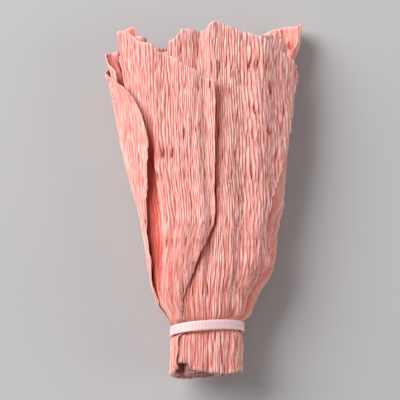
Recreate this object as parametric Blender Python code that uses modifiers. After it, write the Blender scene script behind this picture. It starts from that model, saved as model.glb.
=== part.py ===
"""A flower head of crepe paper, not opened out: seven petals gathered round one another and held by a tie.

Metres, +Z up. The bundle lies on its back along +Y with the petal tips at the +Y end.
The origin is the middle of the bounding box, at its lowest face.
"""
import math

import bmesh
import bpy
from mathutils import Matrix, Vector

MM = 0.001

# Bundle, measured from the middle of the tie: the section is a flattened oval round the Y axis
BLOOM_LENGTH = 130.0 * MM
STUB_LENGTH = 18.0 * MM
TIE_HALF_WIDTH = 12.1 * MM
TIE_HALF_HEIGHT = 8.0 * MM
NECK_HALF_WIDTH = 21.0 * MM
NECK_FRONT = 11.6 * MM
NECK_BACK = 9.6 * MM
STUB_HALF_WIDTH = 14.1 * MM
STUB_HALF_HEIGHT = 9.4 * MM
FLARE_WIDTH = 0.173
FLARE_FRONT = 0.042
FLARE_BACK = 0.006
BULGE = 1.6 * MM
BULGE_REACH = 2.4 * MM
SHOULDER = 10.6 * MM
SHOULDER_POWER = 1.2
STUB_SHOULDER = 2.4 * MM
BAND_FLAT = 1.8 * MM
OVAL_POWER = 2.4
OVAL_AT_TIE = 2.0
TIE_TILT = 0.07
TILT_REACH = 16.0 * MM
SWAY = 1.4 * MM
SWAY_AT = 0.35 * BLOOM_LENGTH
SWAY_REACH = 16.0 * MM
LEAN = 2.2 * MM
LEAN_FROM = 0.346 * BLOOM_LENGTH
LEAN_LENGTH = 0.577 * BLOOM_LENGTH
TIE_RAISED = 3.4 * MM
RAISED_LENGTH = 0.477 * BLOOM_LENGTH

# How far each side bulges out, in mm, at shares of the length
RIGHT_SIDE = ((0.014, 0.0), (0.05, 1.0), (0.10, 0.4), (0.13, 0.5), (0.16, 1.9), (0.21, 2.3), (0.26, 1.5), (0.31, 0.5),
              (0.35, 0.4), (0.40, 1.2), (0.54, 1.6), (0.63, 1.5), (0.71, 0.8), (0.79, -0.3), (0.86, 0.1))
LEFT_SIDE = ((-0.3, 0.4), (-0.1, 0.0), (0.014, 0.0), (0.05, -0.4), (0.08, 0.4), (0.11, 0.4), (0.16, 0.0),
             (0.25, -0.6), (0.30, -0.4), (0.46, 0.1), (0.62, 0.3), (0.73, 0.0))

# Paper and its layers
PAPER = 0.6 * MM
LAYER_AT_TIE = 1.45 * MM
LAYER_AT_MOUTH = 2.2 * MM
LAYER_GROWTH = 60.0 * MM
GATHERS_ROUND = 11
SIDE_GATHERS_ROUND = GATHERS_ROUND + 7
GATHER_PHASE = 0.4  # radians
SIDE_GATHER_PHASE = 1.7
SIDE_GATHER_SHARE = 0.4
GATHER_WANDER = 0.5
GATHER_WANDER_LENGTH = 28 * MM
GATHER_HEIGHT = 1.0 * MM
GATHER_AT_TIE = 0.2 * MM
GATHER_REACH = 16.0 * MM
SNUG_LENGTH = 34.0 * MM
MOUTH = 0.908 * BLOOM_LENGTH
MOUTH_FROM = 0.708 * BLOOM_LENGTH
MOUTH_LENGTH = 0.262 * BLOOM_LENGTH
CREASE_END = 12.0 * MM
EDGE_LIFT_SHARE = 0.08
ROLL_AT_TIE = 0.6
RUNGS = (-0.5, -0.27, -0.1, 0.0139, 0.023, 0.035, 0.054, 0.082, 0.12, 0.165, 0.225, 0.30, 0.40)

# Cable tie
STRAP_WIDTH = 3.0 * MM
STRAP_THICKNESS = 1.1 * MM
STRAP_GAP = 0.3 * MM
TOOTH_PITCH = 1.2 * MM
TOOTH_DEPTH = 0.25 * MM
HEAD_WIDTH = 5.5 * MM
HEAD_LENGTH = 5.8 * MM
HEAD_HEIGHT = 4.4 * MM
HEAD_TURN = 0.615
HEAD_LIFT = 1.5 * MM
HEAD_ROUNDING = 0.5 * MM
SLOT_GAP = 0.3 * MM
TAIL_STANDS_OUT = 0.9 * MM
STRAP_LEAVES_HEAD = 1.05 * HEAD_LENGTH
STRAP_MEETS_HEAD = 0.62 * HEAD_LENGTH
LOOP_POINTS = 96
# Where the strap's ends run in the head: along the strap and outward from its seat
STRAP_ROOT = ((0.25 * HEAD_LENGTH, HEAD_LIFT + 0.2 * MM), (0.55 * HEAD_LENGTH, HEAD_LIFT - 0.1 * MM))
TAIL_RISE = ((-1.3 * MM, 0.55 * MM), (-0.45 * MM, 1.3 * MM), (0.0, HEAD_LIFT + 0.9 * MM),
             (0.0, HEAD_LIFT + HEAD_HEIGHT + TAIL_STANDS_OUT))
# Strap points without teeth, in the head at either end
PLAIN_START = 8
PLAIN_END = 16

PETAL_COLOUR = (0.74, 0.34, 0.29)
TIE_COLOUR = (0.84, 0.60, 0.60)


def follow(stations, at):
    """Value of a smooth line through stations (place, value), without overshoot, held level past its ends."""
    if at <= stations[0][0]:
        return stations[0][1]
    if at >= stations[-1][0]:
        return stations[-1][1]
    steps = [(b[1] - a[1]) / (b[0] - a[0]) for a, b in zip(stations, stations[1:])]
    slopes = [0.0] + [2 * p * q / (p + q) if p * q > 0 else 0.0 for p, q in zip(steps, steps[1:])] + [0.0]
    slopes[0], slopes[-1] = steps[0], steps[-1]
    for i, (a, b) in enumerate(zip(stations, stations[1:])):
        if at <= b[0]:
            run = b[0] - a[0]
            u = (at - a[0]) / run
            start = (1 + 2 * u) * (1 - u) ** 2 * a[1] + u * (1 - u) ** 2 * run * slopes[i]
            end = u * u * (3 - 2 * u) * b[1] + u * u * (u - 1) * run * slopes[i + 1]
            return start + end


def ease(share):
    share = max(0.0, min(1.0, share))
    return share * share * (3 - 2 * share)


def along_bundle(share):
    """Place along the bundle: a share of the bloom above the tie, or of the stub below it."""
    return share * (BLOOM_LENGTH if share > 0 else STUB_LENGTH)


def share_along(y):
    return y / (BLOOM_LENGTH if y > 0 else STUB_LENGTH)


def away_from_band(y):
    return max(0.0, abs(y) - BAND_FLAT)


def beyond_band(y):
    """Share of the way out of the tie's grip, from 0 under the strap to 1."""
    reach = SHOULDER if y > 0 else STUB_SHOULDER
    return 1 - math.exp(-(away_from_band(y) / reach) ** SHOULDER_POWER)


def half_size(y, at_tie, neck, flare, stub):
    """Half the section's size: it springs out beside the tie and then widens more slowly."""
    target = neck + flare * y if y > 0 else stub
    sprung = at_tie + BULGE * (1 - math.exp(-(away_from_band(y) / BULGE_REACH) ** 2))
    return sprung + (target - sprung) * beyond_band(y)


def section(turn, y, inward):
    """Point of the oval at a share of a turn, from the right side over the front, moved inward."""
    a = half_size(y, TIE_HALF_WIDTH, NECK_HALF_WIDTH, FLARE_WIDTH, STUB_HALF_WIDTH)
    front = half_size(y, TIE_HALF_HEIGHT, NECK_FRONT, FLARE_FRONT, STUB_HALF_HEIGHT)
    back = half_size(y, TIE_HALF_HEIGHT, NECK_BACK, FLARE_BACK, STUB_HALF_HEIGHT)
    flatness = 0.5 * (a - 0.5 * (front + back)) / (a + 0.5 * (front + back))
    angle = math.tau * turn + flatness * math.sin(2 * math.tau * turn)
    c, s = math.cos(angle), math.sin(angle)
    a += MM * follow(RIGHT_SIDE if c > 0 else LEFT_SIDE, share_along(y))
    h = front if s > 0 else back
    power = OVAL_AT_TIE + (OVAL_POWER - OVAL_AT_TIE) * beyond_band(y)
    norm = (abs(c) ** power + abs(s) ** power) ** (1 / power)
    lean = max(0.0, min(1.0, (y - LEAN_FROM) / LEAN_LENGTH))
    middle = SWAY * math.exp(-((y - SWAY_AT) / SWAY_REACH) ** 2) - LEAN * lean
    raised = TIE_RAISED * (1 - ease(y / RAISED_LENGTH))
    x = (a - inward) * c / norm + middle
    tilted = y + TIE_TILT * x * math.exp(-(y / TILT_REACH) ** 2)
    return Vector((x, tilted, (h - inward) * s / norm + raised))


def frame_at(turn, y, inward):
    """Point on the section, its direction along the turn and its length for a whole turn."""
    step = 0.001
    here = section(turn, y, inward)
    run = section(turn + step, y, inward) - section(turn - step, y, inward)
    return here, run.normalized(), run.length / (2 * step)


def layer(y):
    share = 1 - math.exp(-away_from_band(y) / LAYER_GROWTH)
    return LAYER_AT_TIE + (LAYER_AT_MOUTH - LAYER_AT_TIE) * share


def gathers(turn, y):
    """Soft folds that all the layers share, so that they lie in one another."""
    grown = 1 - math.exp(-away_from_band(y) / GATHER_REACH)
    height = GATHER_AT_TIE + (GATHER_HEIGHT - GATHER_AT_TIE) * grown
    wander = GATHER_WANDER * math.sin(y / GATHER_WANDER_LENGTH)
    main = math.sin(math.tau * GATHERS_ROUND * turn + GATHER_PHASE + wander)
    side = math.sin(math.tau * SIDE_GATHERS_ROUND * turn + SIDE_GATHER_PHASE - wander)
    return height * ((1 - SIDE_GATHER_SHARE) * main + SIDE_GATHER_SHARE * side)


class Petal:
    """One sheet: its two long edges as turns along the bundle, its layer across, its top and its foot."""

    def __init__(self, name, first, last, depth, top, foot, columns, rows, lift=0.0, creases=(), roll=None,
                 outward_at_mouth=0.0, gathered=1.0, snug=0.0, flare=None):
        self.name = name
        self.first = first
        self.last = last
        self.depth = depth
        self.top = top
        self.foot = foot
        self.columns = columns
        self.rows = rows
        self.lift = lift
        self.creases = creases
        self.roll = roll
        self.outward_at_mouth = outward_at_mouth
        self.gathered = gathered
        self.snug = snug
        self.flare = flare

    def inward(self, share, turn, y):
        rise = max(0.0, min(1.0, (y - MOUTH_FROM) / MOUTH_LENGTH))
        snug = 1 - self.snug * (1 - ease(y / SNUG_LENGTH))
        depth = (follow(self.depth, share) * snug - self.outward_at_mouth * rise) * layer(y)
        depth -= self.lift * beyond_band(y) * math.exp(-share / EDGE_LIFT_SHARE)
        if self.flare is not None:
            at, wide, out, start, reach = self.flare
            depth -= out * ease((share_along(y) - start) / reach) * math.exp(-((turn - at) / wide) ** 2)
        for line, deep, right, left, foot, top in self.creases:
            ends = min(y - along_bundle(foot), along_bundle(top) - y)
            along = max(0.0, min(1.0, ends / CREASE_END))
            off = turn - follow(line, y)
            depth += deep * along * math.exp(-(off / (left if off > 0 else right)) ** 2)
        return depth - self.gathered * gathers(turn, y)

    def place(self, share, up):
        """Point of the sheet at a share across and a share up."""
        flat_share = 1.0 if self.roll is None else self.roll["from"]
        across = min(1.0, share / flat_share)
        top = follow(self.top, self.turn(across, MOUTH))
        if self.roll is not None:
            top += self.roll["rise"] * ease((share - flat_share) / (1 - flat_share))
        foot = follow(self.foot, across)
        rungs = [foot] + [along_bundle(rung) for rung in RUNGS] + [top]
        rung = up * self.rows
        low = min(int(rung + 0.0001), len(RUNGS))
        steps = 1 if low < len(RUNGS) else self.rows - low
        y = rungs[low] + (rungs[low + 1] - rungs[low]) * (rung - low) / steps
        turn = self.turn(across, y)
        inward = self.inward(across, turn, y)
        if share <= flat_share:
            return section(turn, y, inward)
        return self.rolled((share - flat_share) / (1 - flat_share), turn, y, inward)

    def turn(self, across, y):
        a, b = follow(self.first, y), follow(self.last, y)
        return a + (b - a) * across

    def rolled(self, share, turn, y, inward):
        """Past the fold line the sheet goes round a half circle and back inside itself."""
        grown = ROLL_AT_TIE + (1 - ROLL_AT_TIE) * beyond_band(max(0.0, y))
        open_up = ease((y - MOUTH_FROM) / (MOUTH - MOUTH_FROM))
        radius = self.roll["radius"] * grown + (self.roll["at_mouth"] - self.roll["radius"]) * open_up
        back = self.roll["back"] * grown
        length = share * (math.pi * radius + back)
        onward = 1 if self.last[0][1] > self.first[0][1] else -1
        here, along, whole_turn = frame_at(turn, y, inward)
        along = along * onward
        inside = Vector((-along.z, 0, along.x)) * onward
        angle = min(math.pi, length / radius)
        past = max(0.0, length - math.pi * radius)
        if past == 0:
            return here + along * radius * math.sin(angle) + inside * radius * (1 - math.cos(angle))
        turned = turn - onward * past / whole_turn
        return section(turned, y, inward + 2 * radius)


def edge(*pairs):
    """Edge line from (share of the length, turn) pairs."""
    return tuple((along_bundle(share), turn) for share, turn in pairs)


def outline(*pairs):
    """Top or foot line from (turn or share across, share of the length) pairs."""
    return tuple((place, along_bundle(share)) for place, share in pairs)


FRONT_RIGHT = Petal(
    "petal_front_right",
    first=edge((-1, 0.045), (0, 0.06), (0.085, 0.079), (0.123, 0.068), (0.2, 0.055), (0.262, 0.064),
               (0.323, 0.084), (0.4, 0.082), (0.492, 0.065), (0.638, 0.046), (0.777, 0.028), (0.877, 0.016),
               (1.077, 0.014)),
    last=edge((-1, 0.42), (0, 0.42), (0.154, 0.41), (0.462, 0.38), (0.908, 0.365), (1.077, 0.36)),
    depth=((0, 0.0), (0.3, 0.45), (0.5, 1.15), (0.72, 1.85), (1, 2.05)),
    top=outline((0.014, 0.877), (0.023, 0.885), (0.063, 0.915), (0.115, 0.954), (0.136, 0.968), (0.172, 0.989),
                (0.189, 1.003), (0.205, 1.007), (0.223, 1.002), (0.239, 0.982), (0.263, 0.984), (0.292, 0.988),
                (0.317, 0.985), (0.334, 0.955), (0.349, 0.951), (0.352, 0.915), (0.363, 0.906)),
    foot=outline((0, -0.861), (0.04, -0.939), (0.19, -1.028), (0.30, -1.061), (0.44, -1.044), (0.6, -1),
                 (0.75, -0.956), (0.81, -0.894), (0.86, -0.794), (1, -0.756)),
    columns=26, rows=19, lift=0.8 * MM, snug=0.3,
    creases=(
        (edge((0.808, 0.276), (1, 0.256)), 1.6 * MM, 0.014, 0.030, 0.69, 1.15),
    ),
)

FRONT_LEFT = Petal(
    "petal_front_left",
    first=edge((-1, 0.37), (0, 0.395), (0.036, 0.382), (0.063, 0.368), (0.084, 0.359), (0.108, 0.345),
               (0.144, 0.323), (0.188, 0.301), (0.238, 0.277), (0.29, 0.251), (0.325, 0.236), (0.427, 0.229),
               (0.525, 0.220), (0.658, 0.215), (0.783, 0.211), (1.077, 0.209)),
    last=edge((-1, 0.53), (0, 0.525), (0.154, 0.50), (0.308, 0.482), (0.538, 0.462), (0.769, 0.440),
              (0.908, 0.434), (1.077, 0.430)),
    depth=((0, 0.0), (0.3, 0.25), (0.62, 0.85), (1, 1.1)),
    top=outline((0.209, 0.788), (0.288, 0.837), (0.350, 0.892), (0.362, 0.899), (0.366, 0.905), (0.375, 0.928),
                (0.382, 0.934), (0.397, 0.943), (0.408, 0.963), (0.423, 0.988), (0.434, 0.994)),
    foot=outline((0, -0.778), (0.4, -0.944), (1, -1)),
    columns=28, rows=19, lift=0.4 * MM, snug=0.3,
    creases=(
        (edge((0.054, 0.430), (0.223, 0.427), (0.423, 0.411), (0.523, 0.402), (0.669, 0.391)),
              1.5 * MM, 0.012, 0.026, 0.06, 0.77),
        (edge((0.085, 0.389), (0.177, 0.383), (0.231, 0.385), (0.385, 0.362)),
              0.8 * MM, 0.010, 0.012, 0.0, 0.48),
        (edge((0.562, 0.297), (0.746, 0.273)), 0.7 * MM, 0.010, 0.012, 0.48, 0.83),
    ),
    roll={"from": 0.76, "radius": 1.2 * MM, "back": 3.2 * MM, "at_mouth": 1.8 * MM, "rise": 2.5 * MM},
)

LEFT_FLAP = Petal(
    "petal_left_flap",
    first=edge((-1, 0.53), (0, 0.52), (0.046, 0.50), (0.092, 0.472), (0.14, 0.455), (0.198, 0.443),
               (0.247, 0.441), (0.292, 0.441), (0.346, 0.437), (0.396, 0.430), (0.408, 0.427), (0.468, 0.413),
               (0.5, 0.407), (0.544, 0.397), (0.592, 0.392), (0.644, 0.394), (0.707, 0.405), (0.748, 0.416),
               (0.788, 0.431), (0.823, 0.452), (0.862, 0.48), (1.077, 0.50)),
    last=edge((-1, 0.80), (0, 0.80), (0.462, 0.77), (0.908, 0.74), (1.077, 0.73)),
    depth=((0, 0.0), (0.25, 0.0), (0.48, 0.95), (1, 1.2)),
    top=outline((0.475, 0.842), (0.49, 0.862), (0.50, 0.873), (0.53, 0.915), (0.58, 0.954), (0.64, 0.962),
                (0.70, 0.915), (0.74, 0.831)),
    foot=outline((0, -0.972), (0.3, -1.028), (1, -0.944)),
    columns=24, rows=19, lift=1.2 * MM, snug=0.1,
)

BACK_RIGHT = Petal(
    "petal_back_right",
    first=edge((-1, 0.66), (0, 0.66), (0.462, 0.67), (0.908, 0.68), (1.077, 0.68)),
    last=edge((-1, 1.14), (0, 1.14), (0.462, 1.13), (0.908, 1.10), (1.077, 1.08)),
    depth=((0, 0.0), (0.55, 0.0), (0.66, 0.15), (0.76, 1.1), (1, 1.45)),
    top=outline((0.68, 0.815), (0.74, 0.908), (0.82, 0.992), (0.88, 1.027), (0.912, 1.045), (0.945, 1.062),
                (0.968, 1.066), (0.997, 1.058), (1.012, 1.035), (1.02, 0.985), (1.04, 0.892), (1.10, 0.831)),
    foot=outline((0, -0.944), (0.3, -0.978), (0.6, -0.917), (1, -0.833)),
    columns=26, rows=19, snug=0.3, flare=(0.975, 0.045, 2.3 * MM, 0.88, 0.10),
)

BACK_LEFT = Petal(
    "petal_back_left",
    first=edge((-1, 0.59), (0, 0.58), (0.1, 0.56), (0.231, 0.535), (0.462, 0.50), (0.769, 0.470), (0.908, 0.455),
               (1.077, 0.45)),
    last=edge((-1, 0.88), (0, 0.88), (0.462, 0.86), (0.908, 0.83), (1.077, 0.82)),
    depth=((0, 0.9), (0.1, 1.15), (0.3, 2.1), (1, 2.2)),
    top=outline((0.455, 0.858), (0.472, 0.873), (0.488, 0.9), (0.500, 0.931), (0.53, 0.949), (0.56, 0.972),
                (0.57, 0.996), (0.62, 0.985), (0.70, 0.977), (0.78, 0.954), (0.83, 0.862)),
    foot=outline((0, -0.944), (0.5, -1.028), (1, -0.944)),
    columns=20, rows=17,
    creases=((edge((0.769, 0.516), (1.077, 0.516)), 1.6 * MM, 0.014, 0.016, 0.75, 1.23),),
)

INNER_RIGHT = Petal(
    "petal_inner_right",
    first=edge((-1, 0.06), (0, 0.05), (0.308, 0.03), (0.908, 0.02), (1.077, 0.02)),
    last=edge((-1, 0.42), (0, 0.42), (0.154, 0.41), (0.462, 0.39), (0.908, 0.34), (1.077, 0.33)),
    depth=((0, 2.4), (0.3, 2.75), (0.6, 3.05), (1, 3.05)),
    top=outline((0.02, 0.938), (0.029, 0.958), (0.044, 0.965), (0.053, 0.977), (0.069, 0.994), (0.095, 0.978),
                (0.15, 0.969), (0.22, 0.938), (0.34, 0.862)),
    foot=outline((0, -0.917), (0.5, -0.972), (1, -0.889)),
    columns=18, rows=16,
)

INNER_CORE = Petal(
    "petal_inner_core",
    first=edge((-1, 0.92), (0, 0.92), (0.154, 0.80), (0.462, 0.66), (0.908, 0.60), (1.077, 0.60)),
    last=edge((-1, 0.12), (0, 0.12), (0.154, 0.22), (0.462, 0.36), (0.908, 0.407), (1.077, 0.41)),
    depth=((0, 3.1), (0.4, 3.5), (0.7, 3.9), (1, 3.9)),
    top=outline((0.407, 0.978), (0.44, 0.975), (0.50, 0.908), (0.60, 0.8)),
    foot=outline((0, -0.944), (0.5, -1), (1, -0.889)),
    columns=24, rows=16, outward_at_mouth=0.3, gathered=0.4,
    roll={"from": 0.78, "radius": 1.5 * MM, "back": 8.0 * MM, "at_mouth": 1.8 * MM, "rise": 1.0 * MM},
)

PETALS = (FRONT_RIGHT, FRONT_LEFT, LEFT_FLAP, BACK_RIGHT, BACK_LEFT, INNER_RIGHT, INNER_CORE)


def clear_scene():
    for thing in list(bpy.data.objects):
        bpy.data.objects.remove(thing, do_unlink=True)


def collection(name):
    made = bpy.data.collections.new(name)
    bpy.context.scene.collection.children.link(made)
    return made


def material(name, colour, roughness):
    made = bpy.data.materials.new(name)
    made.use_nodes = True
    shader = made.node_tree.nodes["Principled BSDF"]
    shader.inputs["Base Color"].default_value = (*colour, 1.0)
    shader.inputs["Roughness"].default_value = roughness
    shader.inputs["Metallic"].default_value = 0.0
    return made


def add_petal(petal, parts):
    """A plain grid whose points are moved to their places in the bundle and then thickened."""
    shape = bmesh.new()
    bmesh.ops.create_grid(shape, x_segments=petal.columns, y_segments=petal.rows, size=0.5)
    for point in shape.verts:
        point.co = petal.place(point.co.x + 0.5, point.co.y + 0.5)
    mesh = bpy.data.meshes.new(petal.name)
    shape.to_mesh(mesh)
    shape.free()
    made = bpy.data.objects.new(petal.name, mesh)
    parts.objects.link(made)
    thicken = made.modifiers.new("Paper", "SOLIDIFY")
    thicken.thickness = PAPER
    thicken.offset = 0.0
    thicken.use_even_offset = True
    mesh.materials.append(material(petal.name + "_paper", PETAL_COLOUR, 0.9))
    mesh.shade_smooth()
    return made


def strap_line():
    """Middle line of the strap: out of the head, once round the bundle, up through the slot."""
    outward = PAPER / 2 + GATHER_AT_TIE + STRAP_GAP + STRAP_THICKNESS / 2
    seat, along, whole_turn = frame_at(HEAD_TURN, 0.0, -outward)
    seat.y = 0.0
    along = Vector((along.x, 0.0, along.z)).normalized()
    out = Vector((along.z, 0, -along.x))
    leave = HEAD_TURN + STRAP_LEAVES_HEAD / whole_turn
    arrive = HEAD_TURN + 1 - STRAP_MEETS_HEAD / whole_turn
    turns = [leave + (arrive - leave) * i / LOOP_POINTS for i in range(LOOP_POINTS + 1)]
    loop = [section(turn, 0.0, -outward) for turn in turns]
    start = [seat + along * forward + out * rise for forward, rise in STRAP_ROOT]
    tail = [seat + along * forward + out * rise for forward, rise in TAIL_RISE]
    return start, loop, tail, seat, along, out


def ribbon(points, toothed):
    """Outline of the strap's side view: its inner line, then its outer line with teeth along the loop."""
    half = STRAP_THICKNESS / 2
    inner, outer = [], []
    for i, point in enumerate(points):
        before, after = points[max(0, i - 1)], points[min(len(points) - 1, i + 1)]
        run = (after - before).normalized()
        out = Vector((run.z, 0, -run.x))
        inner.append(point - out * half)
        height = half - (TOOTH_DEPTH if toothed[i] else 0.0)
        outer.append(point + out * height)
    return inner + outer[::-1]


def even_points(points, spacing):
    """Points at even spacing along a line of points."""
    lengths = [0.0]
    for a, b in zip(points, points[1:]):
        lengths.append(lengths[-1] + (b - a).length)
    count = max(2, round(lengths[-1] / spacing))
    out, k = [], 0
    for i in range(count + 1):
        at = lengths[-1] * i / count
        while k < len(points) - 2 and lengths[k + 1] < at:
            k += 1
        share = (at - lengths[k]) / (lengths[k + 1] - lengths[k])
        out.append(points[k].lerp(points[k + 1], share))
    return out


def prism(name, outline_points, width, parts):
    """A flat outline in the XZ plane, given half its width on each side of y = 0, as a mesh object."""
    curve = bpy.data.curves.new(name, "CURVE")
    curve.dimensions = "2D"
    curve.fill_mode = "BOTH"
    curve.extrude = width / 2
    line = curve.splines.new("POLY")
    line.points.add(len(outline_points) - 1)
    for point, place in zip(line.points, outline_points):
        point.co = (place.x, place.z, 0.0, 1.0)
    line.use_cyclic_u = True
    drawn = bpy.data.objects.new(name + "_outline", curve)
    drawn.matrix_world = Matrix.Rotation(math.pi / 2, 4, "X")
    parts.objects.link(drawn)
    bpy.context.view_layer.update()
    mesh = bpy.data.meshes.new_from_object(drawn.evaluated_get(bpy.context.evaluated_depsgraph_get()))
    mesh.transform(drawn.matrix_world)
    bpy.data.objects.remove(drawn, do_unlink=True)
    shape = bmesh.new()
    shape.from_mesh(mesh)
    bmesh.ops.remove_doubles(shape, verts=shape.verts, dist=0.0000001)
    bmesh.ops.recalc_face_normals(shape, faces=shape.faces)
    shape.to_mesh(mesh)
    shape.free()
    made = bpy.data.objects.new(name, mesh)
    parts.objects.link(made)
    return made


def block(name, size, place, along, out, parts):
    """A box with its length along the strap, its width along Y and its height outward."""
    shape = bmesh.new()
    bmesh.ops.create_cube(shape, size=1.0)
    across = out.cross(along)
    turned = Matrix((along, across, out)).transposed().to_4x4()
    bmesh.ops.transform(shape, matrix=Matrix.Diagonal((*size, 1.0)), verts=shape.verts)
    bmesh.ops.transform(shape, matrix=Matrix.Translation(place) @ turned, verts=shape.verts)
    mesh = bpy.data.meshes.new(name)
    shape.to_mesh(mesh)
    shape.free()
    made = bpy.data.objects.new(name, mesh)
    parts.objects.link(made)
    return made


def combine(target, other, operation):
    joined = target.modifiers.new(operation.title() + "_" + other.name, "BOOLEAN")
    joined.operation = operation
    joined.solver = "EXACT"
    joined.object = other
    other.hide_render = True
    other.display_type = "WIRE"


def tilt(thing):
    """Slant a piece made square to the Y axis, as the tie lies round the bundle."""
    slant = Matrix.Identity(4)
    slant[1][0] = TIE_TILT
    thing.data.transform(slant)


def add_tie(parts, helpers):
    """Strap, head with its slot and the trimmed tail, moulded in one piece."""
    start, loop, tail, seat, along, out = strap_line()
    middle = even_points(start + loop + tail, TOOTH_PITCH / 2)
    toothed = [i % 2 == 1 and PLAIN_START < i < len(middle) - PLAIN_END for i in range(len(middle))]
    strap = prism("cable_tie", ribbon(middle, toothed), STRAP_WIDTH, parts)
    centre = seat + out * (HEAD_LIFT + HEAD_HEIGHT / 2)
    head = block("head_block", (HEAD_LENGTH, HEAD_WIDTH, HEAD_HEIGHT), centre, along, out, helpers)
    rounding = head.modifiers.new("Rounding", "BEVEL")
    rounding.width = HEAD_ROUNDING
    rounding.segments = 2
    slot_size = (STRAP_THICKNESS + 2 * SLOT_GAP, STRAP_WIDTH + 2 * SLOT_GAP, 3 * HEAD_HEIGHT)
    slot = block("slot_cutter", slot_size, centre, along, out, helpers)
    for thing in (strap, head, slot):
        tilt(thing)
    combine(head, slot, "DIFFERENCE")
    combine(strap, head, "UNION")
    strap.data.materials.append(material("tie_nylon", TIE_COLOUR, 0.4))
    return strap


def seat_on_origin(objects):
    """Move everything so that the origin is under the middle of the bounding box."""
    bpy.context.view_layer.update()
    graph = bpy.context.evaluated_depsgraph_get()
    corners = []
    for made in objects:
        shown = made.evaluated_get(graph)
        corners += [shown.matrix_world @ v.co for v in shown.to_mesh().vertices]
        shown.to_mesh_clear()
    low = Vector([min(c[i] for c in corners) for i in range(3)])
    high = Vector([max(c[i] for c in corners) for i in range(3)])
    return Vector((-(low.x + high.x) / 2, -(low.y + high.y) / 2, -low.z))


def build():
    clear_scene()
    parts = collection("crepe_paper_flower")
    helpers = collection("helpers")
    made = [add_petal(petal, parts) for petal in PETALS]
    made.append(add_tie(parts, helpers))
    shift = seat_on_origin(made)
    for thing in list(parts.objects) + list(helpers.objects):
        thing.location = thing.location + shift
    bpy.context.view_layer.update()


build()
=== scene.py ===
"""Crepe paper flower head, not opened out, lying on a grey table: seven petals held by a cable tie."""
import math

import bpy
import numpy as np
from mathutils import Matrix, Vector


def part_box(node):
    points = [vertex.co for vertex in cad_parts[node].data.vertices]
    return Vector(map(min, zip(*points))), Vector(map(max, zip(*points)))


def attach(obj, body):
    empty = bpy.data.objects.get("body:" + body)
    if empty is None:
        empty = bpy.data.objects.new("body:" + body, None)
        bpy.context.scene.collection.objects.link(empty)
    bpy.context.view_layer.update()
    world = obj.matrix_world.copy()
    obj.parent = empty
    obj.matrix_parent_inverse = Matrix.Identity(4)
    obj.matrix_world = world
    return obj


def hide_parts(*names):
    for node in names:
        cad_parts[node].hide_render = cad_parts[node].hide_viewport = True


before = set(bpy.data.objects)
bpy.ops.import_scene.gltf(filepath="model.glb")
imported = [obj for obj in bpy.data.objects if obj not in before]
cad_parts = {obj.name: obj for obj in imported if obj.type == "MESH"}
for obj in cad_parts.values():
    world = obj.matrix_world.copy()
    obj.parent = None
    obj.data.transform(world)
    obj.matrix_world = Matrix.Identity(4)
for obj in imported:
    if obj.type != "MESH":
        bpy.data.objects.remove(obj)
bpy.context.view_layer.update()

MM = 0.001

# Bundle, measured from the middle of the tie, as in the part's source
BLOOM_LENGTH = 130.0 * MM
STUB_LENGTH = 18.0 * MM
TIE_HALF_WIDTH = 12.1 * MM
TIE_HALF_HEIGHT = 8.0 * MM
NECK_HALF_WIDTH = 21.0 * MM
NECK_FRONT = 11.6 * MM
NECK_BACK = 9.6 * MM
STUB_HALF_WIDTH = 14.1 * MM
STUB_HALF_HEIGHT = 9.4 * MM
FLARE_WIDTH = 0.173
FLARE_FRONT = 0.042
FLARE_BACK = 0.006
BULGE = 1.95 * MM
BULGE_REACH = 1.0 * MM
SHOULDER = 10.6 * MM
SHOULDER_POWER = 1.13
STUB_SHOULDER = 0.8 * MM
BAND_FLAT = 1.7 * MM
OVAL_POWER = 2.4
OVAL_AT_TIE = 2.0
TIE_TILT = 0.07
TILT_REACH = 16.0 * MM
SWAY = 1.4 * MM
SWAY_AT = 45.5 * MM
SWAY_REACH = 16.0 * MM
LEAN = 2.2 * MM
LEAN_FROM = 45.0 * MM
LEAN_LENGTH = 75.0 * MM
TIE_RAISED = 3.4 * MM
RAISED_LENGTH = 62.0 * MM

# How far each side stands out from the even flare, in mm at shares of the length
RIGHT_SIDE = ((0.013, 0.0), (0.035, 1.3), (0.062, 0.9), (0.10, 0.3), (0.13, 0.5), (0.16, 2.1),
              (0.21, 2.4), (0.26, 1.5), (0.31, 0.4), (0.35, 0.3), (0.40, 1.2), (0.54, 1.6),
              (0.63, 1.5), (0.71, 0.8), (0.79, -0.3), (0.86, 0.1))
LEFT_SIDE = ((-0.17, 0.4), (-0.094, 0.0), (0.013, 0.0), (0.023, 0.3), (0.046, -0.6), (0.062, -0.5),
             (0.08, 0.5), (0.11, 0.4), (0.16, 0.0), (0.25, -0.6), (0.30, -0.4), (0.46, 0.1),
             (0.62, 0.3), (0.73, 0.0))

PAPER = 0.6 * MM
PAPER_SEEN = 0.3 * MM
LAYER_AT_TIE = 1.45 * MM
LAYER_AT_MOUTH = 2.2 * MM
LAYER_GROWTH = 60.0 * MM
GATHERS_ROUND = 11
GATHER_HEIGHT = 1.0 * MM
GATHER_AT_TIE = 0.2 * MM
GATHER_REACH = 16.0 * MM
SNUG_LENGTH = 34.0 * MM
MOUTH = 0.908 * BLOOM_LENGTH
MOUTH_FROM = 0.708 * BLOOM_LENGTH
MOUTH_LENGTH = 34.0 * MM

# How creases, shade and free edges run out along the sheets
CREASE_END = 12.0 * MM
CREASE_SHADE = 0.22
CREASE_SHADE_LIMIT = 0.75
UNDER_END = 16.0 * MM
ROLL_SHADE = 0.45
PRESSED_FROM = 12.0 * MM
EDGE_LIFT_SHARE = 0.08

# The share of a sheet's rows that lies below the knee, where it is gathered most
KNEE = 44.0 * MM
KNEE_SHARE = 0.42

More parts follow.
